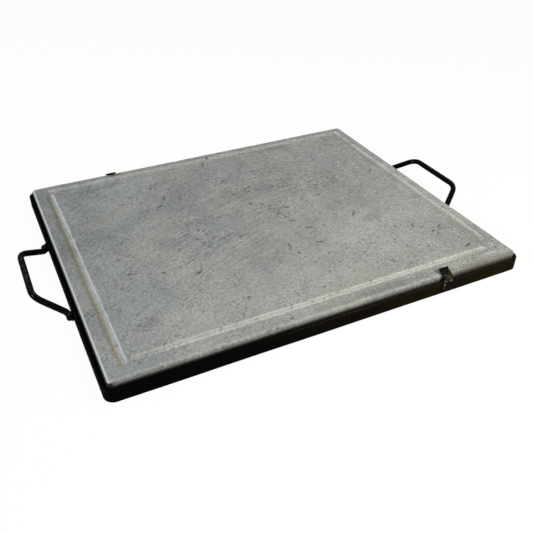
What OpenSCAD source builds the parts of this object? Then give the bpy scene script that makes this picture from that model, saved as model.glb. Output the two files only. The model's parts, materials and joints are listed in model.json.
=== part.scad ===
// Camp griddle plate: a stone cooking slab in a low steel frame with two rod handles
// Millimetres, +Z up. The origin is the middle of the frame's underside.
// +X runs towards the right handle and +Y towards the rear.

/* [Stone slab] */
// Width of the slab, handle to handle
stone_w = 400; // [340:1:460]
// Depth of the slab, front to rear
stone_d = 330; // [280:1:400]
// Thickness of the slab
stone_t = 16; // [14:0.5:22]
// Bevel along the slab's top edge
stone_bevel = 1; // [0.5:0.1:2]

/* [Juice groove] */
// Width of the groove at the cooking face
groove_w = 8.5; // [6.5:0.5:10]
// Width of the groove's flat floor
groove_floor = 5.5; // [3:0.5:8]
// Depth of the groove
groove_depth = 2; // [1:0.1:3.4]
// Middle of the left groove, from the left edge
groove_left = 16.5; // [12:0.5:24]
// Middle of the right groove, from the right edge
groove_right = 13; // [10:0.5:24]
// Middle of the front groove, from the front edge
groove_front = 18; // [17:0.5:24]
// Middle of the rear groove, from the rear edge
groove_rear = 12.5; // [10:0.5:15]

/* [Steel frame] */
// Air gap between the slab and the frame's wall
edge_gap = 1; // [0.6:0.1:2]
// Thickness of the frame's wall
wall_t = 3; // [2:0.5:4]
// Height of the frame's wall
wall_h = 13; // [11:0.5:15]
// Outside radius of the frame's corners
corner_r = 9; // [8:0.5:18]
// Thickness of the ledge bars under the slab
ledge_t = 2; // [1.5:0.5:4]
// Width of the ledge bars
ledge_w = 18; // [12:1:40]

/* [Handles] */
// Diameter of the handle rod
rod_d = 6; // [5:0.5:7]
// From the feet's line to the grip's line, along the handle's slope
handle_reach = 28.5; // [24:0.5:45]
// Between the two corners of the grip
grip_span = 73; // [60:1:110]
// How much wider each leg stands at its foot than at the grip
leg_flare = 17; // [10:0.5:25]
// Length of each foot along the wall, from the leg's corner
foot_len = 8.5; // [8:0.5:18]
// Slope of the handle above level
handle_tilt = 30; // [15:1:40]
// Height of the feet's line above the underside
foot_z = 5.7; // [4.5:0.1:7]
// Bend radius at the grip's corners, to the middle of the rod
grip_bend_r = 15.5; // [8:0.5:18]
// Bend radius at the feet, to the middle of the rod
foot_bend_r = 6.5; // [5:0.5:8]

/* [Retaining clips] */
// Width of the clip strip
clip_w = 10; // [8:0.5:14]
// Thickness of the clip strip
clip_t = 1.5; // [1:0.1:1.8]
// How far the clip's lifted tip reaches over the slab
clip_reach = 6; // [4:0.5:9]
// Front clip, to the right of the middle
front_clip_x = 116; // [90:1:140]
// Rear clip, to the left of the middle
rear_clip_x = 110; // [90:1:140]
// Lower end of the clip's leg, above the underside
clip_foot_z = 3.5; // [3:0.1:5]

/* [Hidden] */
$fn = 64;
stone_top = ledge_t + stone_t;
rim_z = min(wall_h, stone_top - 4);
in_w = stone_w + 2 * edge_gap;    // inside of the wall
in_d = stone_d + 2 * edge_gap;
out_w = in_w + 2 * wall_t;        // outside of the wall
out_d = in_d + 2 * wall_t;
in_r = corner_r - wall_t;
stone_r = in_r - edge_gap;

// Groove: a flat floor between two sloped walls
floor_r = groove_floor / 2;
cutter_over = 1;                  // how far the cutter stands above the cooking face
cutter_h = groove_depth + cutter_over;
cutter_r = floor_r + (groove_w / 2 - floor_r) * cutter_h / groove_depth;
floor_z = stone_top - groove_depth;
left_x = -stone_w / 2 + groove_left;
right_x = stone_w / 2 - groove_right;
front_y = -stone_d / 2 + groove_front;
rear_y = stone_d / 2 - groove_rear;
groove_rest = 2.5;                // uncut stone between grooves that stop at a corner

// Handle: corners of the bent rod, in its own plane
rod_r = rod_d / 2;
weld_gap = 0.05;                  // between rod and wall, and rod and bead
grip_v = grip_span / 2;
foot_v = grip_v + leg_flare;
leg_turn = atan2(handle_reach, leg_flare);
grip_run = grip_bend_r * tan(leg_turn / 2);
foot_run = foot_bend_r * tan(leg_turn / 2);
leg_len = norm([handle_reach, leg_flare]) - grip_run - foot_run;
lap = 0.2;                        // how far the straight runs reach into the bends
bend_grow = 0.02;                 // a bend is this much fuller than the straight rod
bead_low = 0.5 * rod_r;           // where a bead starts, beside the rod's middle
bead_high = 1.5 * rod_r;          // where a bead ends on the wall
bead_len = foot_len - foot_run - 1;

// Clip: a strip with two bends, seen from its side, n out from the slab's side and z up
clip_gap = 0.3;                   // between strip and stone or steel
clip_bend = 2.5;                  // bend radius, to the middle of the strip
tab_turn = 64;                    // lean of the lifted tab, from upright
half_t = clip_t / 2;
leg_n = edge_gap + wall_t + clip_gap + half_t;
leg_top = rim_z - 0.15 + half_t;  // where the leg's line meets the slope's
tab_n = 0.25 + half_t;            // where the slope's line meets the tab's
tab_z = stone_top + (half_t + clip_gap - cos(tab_turn) * (stone_bevel + tab_n)) / sin(tab_turn);
slope_turn = atan2(leg_n - tab_n, tab_z - leg_top);
leg_run = clip_bend * tan(slope_turn / 2);
tab_run = clip_bend * tan((tab_turn - slope_turn) / 2);
tab_len = (tab_n + clip_reach) / sin(tab_turn);
bend_steps = 8;                   // flats that make up each bend
clip_bead_t = 1.4;                // thickness of the bead under the clip's leg
clip_bead_h = 2;                  // height of that bead
clip_bead_gap = 0.2;              // between bead and leg

// A rectangle with round corners, in plan
module round_rect(w, d, r) {
    square([w - 2 * r, d], center = true);
    square([w, d - 2 * r], center = true);
    for (x = [-1, 1], y = [-1, 1])
        translate([x * (w / 2 - r), y * (d / 2 - r)]) circle(r = r);
}

// Side view of a plate with bevelled top edges
module bevelled_side(span) {
    polygon([[-span / 2, 0], [span / 2, 0], [span / 2, stone_t - stone_bevel],
             [span / 2 - stone_bevel, stone_t], [-span / 2 + stone_bevel, stone_t],
             [-span / 2, stone_t - stone_bevel]]);
}

module blank_slab() {
    translate([-stone_w / 2 + stone_r, 0, 0]) rotate([90, 0, 90])
        linear_extrude(height = stone_w - 2 * stone_r) bevelled_side(stone_d);
    translate([0, stone_d / 2 - stone_r, 0]) rotate([90, 0, 0])
        linear_extrude(height = stone_d - 2 * stone_r) bevelled_side(stone_w);
    for (x = [-1, 1], y = [-1, 1])
        translate([x * (stone_w / 2 - stone_r), y * (stone_d / 2 - stone_r), 0]) {
            cylinder(r = stone_r, h = stone_t - stone_bevel);
            translate([0, 0, stone_t - stone_bevel])
                cylinder(r1 = stone_r, r2 = stone_r - stone_bevel, h = stone_bevel);
        }
}

// The cutter of a groove that runs along +X from the origin, round at both ends
module groove_cutter(length) {
    rotate([90, 0, 90]) linear_extrude(height = length)
        polygon([[-floor_r, 0], [floor_r, 0], [cutter_r, cutter_h], [-cutter_r, cutter_h]]);
    for (x = [0, length]) translate([x, 0, 0]) cylinder(r1 = floor_r, r2 = cutter_r, h = cutter_h);
}

// One groove along X between two ends
module groove_x(y, x0, x1) { translate([x0, y, floor_z]) groove_cutter(x1 - x0); }

// One groove along Y between two ends
module groove_y(x, y0, y1) { translate([x, y0, floor_z]) rotate([0, 0, 90]) groove_cutter(y1 - y0); }

module stone_slab() {
    color([0.58, 0.59, 0.57]) difference() {
        translate([0, 0, ledge_t]) blank_slab();
        groove_y(left_x, front_y, rear_y - groove_w - groove_rest);
        groove_x(front_y, left_x + groove_w + groove_rest, right_x - groove_w - groove_rest);
        groove_y(right_x, front_y, rear_y);
        groove_x(rear_y, left_x, right_x);
    }
}

module rim_band() {
    color([0.05, 0.05, 0.05]) linear_extrude(height = rim_z) difference() {
        round_rect(out_w, out_d, corner_r);
        round_rect(in_w, in_d, in_r);
    }
}

// Front ledge bar, with its ends eased to clear the wall's corners
module ledge_long() {
    color([0.06, 0.06, 0.06]) linear_extrude(height = ledge_t) intersection() {
        round_rect(in_w, in_d, in_r + 1);
        translate([-in_w / 2, -in_d / 2]) square([in_w, ledge_w]);
    }
}

module ledge_short() {
    color([0.06, 0.06, 0.06])
        translate([in_w / 2 - ledge_w, -in_d / 2 + ledge_w, 0])
            cube([ledge_w, in_d - 2 * ledge_w, ledge_t]);
}

module front_ledge() { ledge_long(); }
module rear_ledge() { rotate([0, 0, 180]) ledge_long(); }
module right_ledge() { ledge_short(); }
module left_ledge() { rotate([0, 0, 180]) ledge_short(); }

// A quarter or less of a bent rod, turning from +X towards +Y
module rod_bend(r, turn) {
    rotate_extrude(angle = turn) translate([r, 0]) circle(r = rod_r + bend_grow);
}

// Leg, bends and foot on the rear half, flat in the handle's plane with the foot's line at X = 0
module half_handle() {
    translate([handle_reach - grip_bend_r, grip_v - grip_run, 0]) rod_bend(grip_bend_r, leg_turn);
    translate([handle_reach, grip_v, 0]) rotate([0, 0, leg_turn])
        translate([0, grip_run - lap, 0]) rotate([-90, 0, 0])
            cylinder(r = rod_r, h = leg_len + 2 * lap);
    translate([foot_bend_r, foot_v + foot_run, 0]) rotate([0, 0, 180])
        rod_bend(foot_bend_r, leg_turn);
    translate([0, foot_v + foot_run - lap, 0]) rotate([-90, 0, 0])
        cylinder(r = rod_r, h = foot_len - foot_run + lap);
}

module right_handle() {
    color([0.05, 0.05, 0.05])
        translate([out_w / 2 + weld_gap + rod_r, 0, foot_z]) rotate([0, -handle_tilt, 0]) {
            translate([handle_reach, -grip_v + grip_run - lap, 0]) rotate([-90, 0, 0])
                cylinder(r = rod_r, h = grip_span - 2 * grip_run + 2 * lap);
            half_handle();
            mirror([0, 1, 0]) half_handle();
        }
}

module left_handle() { mirror([1, 0, 0]) right_handle(); }

// End view of the bead above a foot, between the wall at X = 0 and the rod
module bead_side() {
    difference() {
        polygon([[0, bead_low], [0, bead_high], [0.7 * rod_r, 1.12 * rod_r], [rod_r, bead_low]]);
        translate([rod_r + weld_gap, 0]) circle(r = rod_r + weld_gap);
    }
}

module right_handle_welds() {
    color([0.07, 0.07, 0.07])
        for (side = [-1, 1], up = [0, 1])
            translate([out_w / 2, side * (foot_v + foot_len - bead_len / 2) + bead_len / 2, foot_z])
                rotate([90, 0, 0]) mirror([0, up, 0])
                    linear_extrude(height = bead_len) bead_side();
}

module left_handle_welds() { mirror([1, 0, 0]) right_handle_welds(); }

// Points on one face of a bend, at radius r about a middle point
function bend_points(middle, r, from, to) =
    [for (i = [0 : bend_steps]) let (a = from + (to - from) * i / bend_steps)
        middle + r * [cos(a), sin(a)]];

// One face of the strip from its foot to its tip, side steps out from the middle of the strip
function strip_face(side) =
    let (leg_bend = [leg_n - clip_bend, leg_top - leg_run],
         corner = [tab_n, tab_z] - tab_run * [-sin(slope_turn), cos(slope_turn)],
         tab_bend = corner - clip_bend * [cos(slope_turn), sin(slope_turn)],
         tip = [tab_n, tab_z] + tab_len * [-sin(tab_turn), cos(tab_turn)])
    concat([[leg_n + side, clip_foot_z]],
           bend_points(leg_bend, clip_bend + side, 0, slope_turn),
           bend_points(tab_bend, clip_bend + side, slope_turn, tab_turn),
           [tip + side * [cos(tab_turn), sin(tab_turn)]]);

// Side view of a clip: X is the distance out from the slab's side, Y is the height
module clip_side() {
    inner = strip_face(-half_t);
    last = len(inner) - 1;
    polygon(concat(strip_face(half_t), [for (i = [0 : last]) inner[last - i]]));
}

// Stands a side view up against the front of the slab, centred on x
module on_front(x, width) {
    translate([x - width / 2, -stone_d / 2, 0]) rotate([90, 0, 90]) mirror([1, 0, 0])
        linear_extrude(height = width) children();
}

module front_clip() { color([0.10, 0.09, 0.07]) on_front(front_clip_x, clip_w) clip_side(); }
module rear_clip() {
    color([0.10, 0.09, 0.07]) rotate([0, 0, 180]) on_front(rear_clip_x, clip_w) clip_side();
}

// Side view of the bead under a clip's leg
module clip_bead_side() {
    top = clip_foot_z - clip_bead_gap;
    wall_n = edge_gap + wall_t;
    polygon([[wall_n, top - clip_bead_h], [wall_n, top], [wall_n + clip_bead_t, top],
             [wall_n + 0.6 * clip_bead_t, top - 0.6 * clip_bead_h]]);
}

module front_clip_weld() {
    color([0.07, 0.07, 0.07]) on_front(front_clip_x, clip_w) clip_bead_side();
}
module rear_clip_weld() {
    color([0.07, 0.07, 0.07]) rotate([0, 0, 180]) on_front(rear_clip_x, clip_w) clip_bead_side();
}

stone_slab();
rim_band();
front_ledge();
rear_ledge();
left_ledge();
right_ledge();
left_handle();
right_handle();
left_handle_welds();
right_handle_welds();
front_clip();
rear_clip();
front_clip_weld();
rear_clip_weld();
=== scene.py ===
# %% [markdown]
# # A camp griddle plate
# A grey stone slab lies in a low frame of black steel band. A bent rod handle is welded to each
# end, and two sprung steel clips, one in front and one behind, hold the slab down. The packed
# model gives every piece its size and place, so this lesson only dresses it: each step makes one
# piece as a worked-out surface, and the last steps give the pieces their finishes.

# %% The frame that everything is built around
import json
import math

import bmesh
import bpy
import numpy as np
from mathutils import Matrix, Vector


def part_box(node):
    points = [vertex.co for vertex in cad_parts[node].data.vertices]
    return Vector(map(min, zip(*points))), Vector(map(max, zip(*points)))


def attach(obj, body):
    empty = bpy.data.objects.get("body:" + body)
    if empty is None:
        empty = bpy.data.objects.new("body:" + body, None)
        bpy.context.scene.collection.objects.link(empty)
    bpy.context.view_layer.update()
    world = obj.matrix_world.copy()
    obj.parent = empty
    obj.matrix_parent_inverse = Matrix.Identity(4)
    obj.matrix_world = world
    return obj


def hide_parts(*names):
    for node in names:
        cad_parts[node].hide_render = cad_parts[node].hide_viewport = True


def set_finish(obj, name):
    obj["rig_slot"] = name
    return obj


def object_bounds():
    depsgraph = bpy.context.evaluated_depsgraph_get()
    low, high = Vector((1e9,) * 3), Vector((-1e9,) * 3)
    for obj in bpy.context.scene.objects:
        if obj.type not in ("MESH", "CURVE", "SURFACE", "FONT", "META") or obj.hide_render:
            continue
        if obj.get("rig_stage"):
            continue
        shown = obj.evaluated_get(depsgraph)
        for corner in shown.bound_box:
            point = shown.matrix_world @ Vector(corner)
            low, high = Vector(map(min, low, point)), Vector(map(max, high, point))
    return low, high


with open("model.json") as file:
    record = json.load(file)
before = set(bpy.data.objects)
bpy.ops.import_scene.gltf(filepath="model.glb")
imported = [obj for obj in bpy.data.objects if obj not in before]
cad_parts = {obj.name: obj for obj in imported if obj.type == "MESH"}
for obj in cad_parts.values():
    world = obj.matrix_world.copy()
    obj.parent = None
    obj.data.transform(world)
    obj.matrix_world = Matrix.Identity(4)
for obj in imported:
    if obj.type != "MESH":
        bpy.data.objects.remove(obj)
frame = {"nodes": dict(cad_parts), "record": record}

cad_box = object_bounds()
MM = 0.001


def node_box(node):
    """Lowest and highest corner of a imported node, in millimetres."""
    low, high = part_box(node)
    return np.array(low) / MM, np.array(high) / MM


slab_low, slab_high = node_box("stone_slab")
rim_low, rim_high = node_box("rim_band")
print("slab", slab_high - slab_low, "rim", rim_high - rim_low)

# %% [markdown]
# ## The camera
# The photograph was taken from the front, a little to the left and from above. Azimuth turns the
# camera about the upright axis and elevation lifts it. The three axes of the camera are worked
# out from those angles, which is easier to check than a set of Euler angles.

# %% Camera
SENSOR_MM = 36.0
LENS_MM = 42.93
CAMERA_AZIMUTH = math.radians(-26.12)
CAMERA_ELEVATION = math.radians(35.52)
CAMERA_ROLL = math.radians(0.15)
CAMERA_PLACE = (-0.2402, -0.5157, 0.3628)


def camera_axes(azimuth, elevation, roll):
    """Right, up and back of a camera: back leans by elevation and turns by azimuth, then a roll."""
    flat = math.cos(elevation)
    back = np.array([math.sin(azimuth) * flat, -math.cos(azimuth) * flat, math.sin(elevation)])
    level = np.array([math.cos(azimuth), math.sin(azimuth), 0.0])
    right = level * math.cos(roll) + np.cross(back, level) * math.sin(roll)
    return right, np.cross(back, right), back


def stand_at(name, data, axes, place):
    """A new object with this data, its three axes and its place."""
    stand = np.eye(4)
    stand[:3] = np.column_stack([*axes, place])
    holder = bpy.data.objects.new(name, data)
    holder.matrix_world = Matrix(stand.tolist())
    bpy.context.scene.collection.objects.link(holder)
    return holder


lens = bpy.data.cameras.new("photo_camera")
lens.sensor_width = SENSOR_MM
lens.lens = LENS_MM
axes = camera_axes(CAMERA_AZIMUTH, CAMERA_ELEVATION, CAMERA_ROLL)
bpy.context.scene.camera = stand_at("photo_camera", lens, axes, CAMERA_PLACE)
print("the camera looks along", -axes[2])

# %% [markdown]
# ## Shader sums written as Python
# A finish is a small sum: so much cloud, less so much fleck. Wiring Math nodes by hand hides that
# sum, so one class wraps a node's output and turns Python's own signs into Math nodes. Every
# other kind of node comes from its one method, which sets the settings before the sockets.


# %% A wire between nodes
class Wire:
    """A node's output, or an empty start of a tree. Signs add Math nodes, node() adds any other."""

    def __init__(self, tree, socket=None):
        self.tree = tree
        self.socket = socket

    def node(self, kind, settings=None, sockets=None, out=0):
        """Adds a node, makes its settings, then fills its sockets with values or wires."""
        made = self.tree.nodes.new("ShaderNode" + kind)
        for name, value in (settings or {}).items():
            if name == "stops":
                set_stops(made.color_ramp, value)
            else:
                setattr(made, name, value)
        for name, value in (sockets or {}).items():
            if isinstance(value, Wire):
                self.tree.links.new(value.socket, made.inputs[name])
            else:
                made.inputs[name].default_value = value
        return Wire(self.tree, made.outputs[out] if made.outputs else None)

    def beside(self, name):
        """Another output of the same node."""
        return Wire(self.tree, self.socket.node.outputs[name])

    def math(self, operation, *values):
        """Adds a Math node of this operation on some numbers or wires."""
        return self.node("Math", {"operation": operation}, dict(enumerate(values)))

    def __add__(self, other):
        return self.math("ADD", self, other)

    def __sub__(self, other):
        return self.math("SUBTRACT", self, other)

    def __rsub__(self, other):
        return self.math("SUBTRACT", other, self)

    def __mul__(self, other):
        return self.math("MULTIPLY", self, other)

    __radd__ = __add__
    __rmul__ = __mul__


def set_stops(ramp, stops):
    """Puts a colour ramp's stops at their places, each a place and a colour."""
    while len(ramp.elements) < len(stops):
        ramp.elements.new(0.5)
    for element, (place, colour) in zip(ramp.elements, stops):
        element.position = place
        element.color = (*colour, 1.0)


def empty_tree(owner):
    """The start of a material's or the world's tree, with nothing in it yet."""
    owner.use_nodes = True
    owner.node_tree.nodes.clear()
    return Wire(owner.node_tree)


print("wires ready")

# %% [markdown]
# ## The studio
# The object was cut out on plain white, so the floor is white to the eye: rays from the camera and
# from reflections see it mostly as white paper, and the rest of its shading keeps a soft shadow.
# Two panels make the light. A cool one stands far to the left, like a window, so it brightens what
# faces left. A warm one stands near, in front and to the right, so the stone is lighter towards
# that corner and each side of a groove takes its own tint.

# %% White floor and surroundings
FLOOR_RADIUS = 6.0
FLOOR_DROP = 0.0003
FLOOR_MATT = 0.9
PAPER_SHARE = 0.95
AMBIENT = 0.24
AMBIENT_TINT = (0.96, 0.98, 1.0, 1)
WHITE = (1, 1, 1, 1)
far_white = PAPER_SHARE + (1 - PAPER_SHARE) * FLOOR_MATT * AMBIENT


def seen_directly(start):
    """One for rays from the camera, from reflections and through glass, and nought for the rest."""
    path = start.node("LightPath", out="Is Camera Ray")
    mirrored = path.math("MAXIMUM", path, path.beside("Is Glossy Ray"))
    return path.math("MAXIMUM", mirrored, path.beside("Is Transmission Ray"))


def paper_finish():
    """Matt white mixed with plain white light where it is seen, and clear from below."""
    material = bpy.data.materials.new("white_paper")
    start = empty_tree(material)
    matt = start.node("BsdfDiffuse", {}, {"Color": (FLOOR_MATT, FLOOR_MATT, FLOOR_MATT, 1)})
    white = start.node("Emission", {}, {"Color": WHITE, "Strength": 1.0})
    paper = start.node("MixShader", {}, {0: seen_directly(start) * PAPER_SHARE, 1: matt, 2: white})
    clear = start.node("BsdfTransparent")
    below = start.node("NewGeometry", out="Backfacing")
    surface = start.node("MixShader", {}, {0: below, 1: paper, 2: clear})
    start.node("OutputMaterial", {}, {"Surface": surface})
    return material


corner = FLOOR_RADIUS * np.array([[-1, -1], [1, -1], [1, 1], [-1, 1]])
sheet = bpy.data.meshes.new("floor")
sheet.from_pydata([(x, y, -FLOOR_DROP) for x, y in corner], [], [(0, 1, 2, 3)])
sheet.materials.append(paper_finish())
floor = bpy.data.objects.new("floor", sheet)
bpy.context.scene.collection.objects.link(floor)
floor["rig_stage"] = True

world = bpy.data.worlds.new("studio")
bpy.context.scene.world = world
sky = empty_tree(world)
dim = sky.node("Background", {}, {"Color": AMBIENT_TINT, "Strength": AMBIENT})
white = sky.node("Background", {}, {"Color": WHITE, "Strength": far_white})
around = sky.node("MixShader", {}, {0: seen_directly(sky), 1: dim, 2: white})
sky.node("OutputWorld", {}, {"Surface": around})
bpy.context.scene.view_settings.view_transform = "Standard"
print("floor and surroundings ready")

# %% Two soft panels
PANELS = {
    "cool_window": dict(
        place=(-2.17, 0.10, 1.00), size=(0.60, 0.45), tint=(0.78, 0.885, 1.0), level=0.88),
    "warm_panel": dict(
        place=(0.36, -0.60, 0.60), size=(0.22, 0.22), tint=(1.0, 0.945, 0.83), level=0.83),
}


def add_panel(name, place, size, tint, level):
    """A flat lamp aimed at the slab. At level 1 a surface facing it renders at its own colour:
    that takes (pi * distance) squared watts."""
    lamp = bpy.data.lights.new(name, "AREA")
    lamp.shape = "RECTANGLE"
    lamp.size, lamp.size_y = size
    lamp.color = tint
    back = np.array(place)
    lamp.energy = level * (math.pi * np.linalg.norm(back)) ** 2
    back = back / np.linalg.norm(back)
    right = np.cross([0, 0, 1], back)
    right /= np.linalg.norm(right)
    stand_at(name, lamp, (right, np.cross(back, right), back), place)
    print(name, round(lamp.energy, 2), "watts")


for name, panel in PANELS.items():
    add_panel(name, **panel)

# %% [markdown]
# ## From arrays to pieces
# Each new piece starts as arrays: a grid of points and the quads between neighbours. Rings that
# meet and poles where a ring shrinks to a point are welded afterwards, so the shapes are closed.
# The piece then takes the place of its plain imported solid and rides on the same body.

# %% Grids into meshes
WELD = 1e-6
bodies = {}
for body, nodes in frame["record"]["behaviour"]["bodies"].items():
    bodies.update(dict.fromkeys(nodes, body))
pieces = {}


def quads(index, wrap=False):
    """Quads between neighbours in a grid of point numbers; wrap joins last column to first."""
    if wrap:
        index = np.concatenate([index, index[:, :1]], 1)
    corners = (index[:-1, :-1], index[:-1, 1:], index[1:, 1:], index[1:, :-1])
    return np.stack(corners, -1).reshape(-1, 4)


def make_piece(name, node, slot, points, faces, marks=None, crease=38):
    """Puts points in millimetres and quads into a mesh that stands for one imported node.
    marks are numbers kept at each point for the finish to read."""
    mesh = bpy.data.meshes.new(name)
    mesh.from_pydata((points * MM).tolist(), [], faces.tolist())
    for label, values in (marks or {}).items():
        layer = mesh.attributes.new(label, "FLOAT", "POINT")
        layer.data.foreach_set("value", values.astype(np.float32))
    shell = bmesh.new()
    shell.from_mesh(mesh)
    bmesh.ops.remove_doubles(shell, verts=shell.verts, dist=WELD)
    bmesh.ops.recalc_face_normals(shell, faces=shell.faces)
    shell.to_mesh(mesh)
    shell.free()
    mesh.polygons.foreach_set("use_smooth", np.ones(len(mesh.polygons), bool))
    mesh.set_sharp_from_angle(angle=math.radians(crease))
    piece = bpy.data.objects.new(name, mesh)
    bpy.context.scene.collection.objects.link(piece)
    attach(piece, bodies[node])
    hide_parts(node)
    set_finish(piece, slot)
    pieces[name] = piece
    print(name, len(mesh.vertices), "points", len(mesh.polygons), "faces")


# %% [markdown]
# ## The stone slab
# The slab is sawn stone with a shallow flat-bottomed groove let in along each side. A plain box
# with a bevel would look moulded, so the top is worked out point by point: its height drops where
# a groove runs and along the edge, where the rounding swells and shrinks and small chips are gone.
# The left edge is cut to a wider bevel. The grid's lines gather at the grooves and edges, where
# the shape changes fastest.

# %% Slab sizes and its grid lines
SLAB_CORNER = 4.0
GROOVE_WIDTH, GROOVE_FLOOR, GROOVE_DEPTH = 8.5, 5.5, 2.0
GROOVE_INSET = dict(left=16.5, right=13.0, front=18.0, rear=12.5)
GROOVE_STOP = 11.0
GRID_STEP = 1.7
EDGE_STOPS = np.array([0, 0.12, 0.35, 0.7, 1.1, 1.6, 2.1, 2.6, 3.1, 3.8])
LIP_STOPS = np.array([0, 1.4, 2.3, 2.65, 2.95, 3.3, 3.7, 4.05, 4.35, 4.8, 5.5])
LINE_GAP = 0.08

left_x = slab_low[0] + GROOVE_INSET["left"]
right_x = slab_high[0] - GROOVE_INSET["right"]
front_y = slab_low[1] + GROOVE_INSET["front"]
rear_y = slab_high[1] - GROOVE_INSET["rear"]
groove_from = np.array([
    [left_x, front_y], [left_x + GROOVE_STOP, front_y], [right_x, front_y], [left_x, rear_y]])
groove_to = np.array([
    [left_x, rear_y - GROOVE_STOP], [right_x - GROOVE_STOP, front_y],
    [right_x, rear_y], [right_x, rear_y]])


def grid_lines(low, high, middles):
    """Lines across the slab: close ones at both edges and at each groove, even ones in between."""
    lips = np.concatenate([LIP_STOPS, -LIP_STOPS])
    marks = [low + EDGE_STOPS, high - EDGE_STOPS] + [middle + lips for middle in middles]
    marks = np.unique(np.concatenate(marks))
    marks = marks[(marks >= low) & (marks <= high)]
    marks = marks[np.append(True, np.diff(marks) > LINE_GAP)]
    marks[-1] = high
    runs = [np.linspace(a, b, max(1, math.ceil((b - a) / GRID_STEP)), endpoint=False)
            for a, b in zip(marks[:-1], marks[1:])]
    return np.append(np.concatenate(runs), high)


lines_x = grid_lines(slab_low[0], slab_high[0], [left_x, right_x])
lines_y = grid_lines(slab_low[1], slab_high[1], [front_y, rear_y])
print("slab grid", len(lines_x), "by", len(lines_y))

# %% Unevenness
WAVE_SPREAD = (0.7, 1.4)
RIPPLE_LIMIT = 2


def ripple(x, y, spread, length, seed, waves=9):
    """Unevenness of some spread: a sum of sine waves of about one length, running all ways."""
    draw = np.random.default_rng(seed)
    way = draw.uniform(0, 2 * np.pi, waves)
    turn = 2 * np.pi / (length * draw.uniform(*WAVE_SPREAD, waves))
    shift = draw.uniform(0, 2 * np.pi, waves)
    across = x[..., None] * np.cos(way) + y[..., None] * np.sin(way)
    return spread * (np.sin(across * turn + shift).sum(-1) / math.sqrt(waves / 2))


def sunken(x, y, depth, length, seed):
    """Depths never below nought: a ripple cut off at twice its spread, lifted by as much."""
    wave = ripple(x, y, 1, length, seed)
    return depth * (RIPPLE_LIMIT + np.clip(wave, -RIPPLE_LIMIT, RIPPLE_LIMIT))


def eased(value, softness):
    """The value above nought and nought below it, with the corner between them rounded."""
    return (value + np.sqrt(value ** 2 + softness ** 2)) / 2


def bell(value, middle, half):
    """One at the middle, falling off smoothly: e to minus the square of the distance in halves."""
    return np.exp(-((value - middle) / half) ** 2)


print("ripples ready")

# %% Edges
EDGE_ROUNDS = np.array([1.2, 1.3, 2.6, 1.1])
ROUND_LIMITS = (0.5, 3.9)
# A ripple is its spread, length and seed, and a chip its place, reach and depth
EDGE_WAVE, EDGE_GRIT, CHIP_ROUGH = (0.07, 21, 1), (0.05, 5.5, 2), (0.3, 2.5, 3)
CHIPS = [
    (92, -165, 2.2, 1.3), (96, -165, 1.6, 1), (99, -165, 2, 1.5), (-128, -165, 2.5, 1),
    (-60, -165, 3, 0.8), (31, -165, 2.2, 0.9), (171, -165, 3, 0.9), (-200, 40, 2.5, 0.9),
    (-200, -96, 3.5, 0.7), (200, -70, 2.5, 1.1), (200, 88, 3, 0.9), (-30, 165, 3, 1)]


def round_corners(x, y):
    """Squares of the grid drawn into round corners: a corner square of side r becomes a quarter
    disc. A point keeps its larger offset from the corner's middle as its distance. Also gives the
    distance from the slab's edge."""
    half = (slab_high - slab_low)[:2] / 2
    beyond = np.stack([np.abs(x) - half[0] + SLAB_CORNER, np.abs(y) - half[1] + SLAB_CORNER], -1)
    larger = beyond.max(-1)
    inside = beyond.min(-1) <= 0
    length = np.maximum(np.linalg.norm(beyond, axis=-1), 1e-9)
    drawn = np.where(inside[..., None], beyond, beyond * (larger / length)[..., None])
    new_x = np.sign(x) * (drawn[..., 0] + half[0] - SLAB_CORNER)
    new_y = np.sign(y) * (drawn[..., 1] + half[1] - SLAB_CORNER)
    return new_x, new_y, SLAB_CORNER - larger


def edge_rounding(x, y):
    """Radius of the rounded edge: each side has its own, mixed by nearness where two sides meet. It
    wanders along the edge, and is larger at each chip."""
    away = np.stack([x - slab_low[0], slab_high[0] - x, y - slab_low[1], slab_high[1] - y], -1)
    near = np.exp(-away / SLAB_CORNER)
    radius = (near * EDGE_ROUNDS).sum(-1) / near.sum(-1)
    radius = radius * (1 + ripple(x, y, *EDGE_WAVE) + ripple(x, y, *EDGE_GRIT))
    rough = 1 + ripple(x, y, *CHIP_ROUGH)
    for chip_x, chip_y, reach, depth in CHIPS:
        away = ((x - chip_x) ** 2 + (y - chip_y) ** 2) / reach ** 2
        radius = radius + depth * np.exp(-away) * rough
    return np.clip(radius, *ROUND_LIMITS)


def edge_drop(inward, radius):
    """Drop of a rounded edge at a distance in from the side: a quarter circle of that radius."""
    short = np.clip(radius - inward, 0, radius)
    return radius - np.sqrt(radius ** 2 - short ** 2)


print(len(CHIPS), "chips in edges rounded by", EDGE_ROUNDS)

# %% Grooves
WANDER_X, WANDER_Y = (0.16, 70, 4), (0.16, 70, 5)


def groove_distance(x, y):
    """Distance from the nearest groove's middle line, which wanders as hand-led cuts do."""
    point = np.stack([x + ripple(x, y, *WANDER_X), y + ripple(x, y, *WANDER_Y)], -1)[..., None, :]
    along = groove_to - groove_from
    share = ((point - groove_from) * along).sum(-1) / (along ** 2).sum(-1)
    nearest = groove_from + np.clip(share, 0, 1)[..., None] * along
    return np.linalg.norm(point - nearest, axis=-1).min(-1)


def groove_drop(distance, softness=0.16):
    """Depth of a flat-bottomed cut: its walls fall evenly from lip to floor, eased at both."""
    share = eased((GROOVE_WIDTH / 2 - distance) * 2 / (GROOVE_WIDTH - GROOVE_FLOOR), softness)
    return GROOVE_DEPTH * np.maximum(1 - eased(1 - share, softness), 0)


print("groove depth in its middle", round(groove_drop(0.0), 2))

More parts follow.
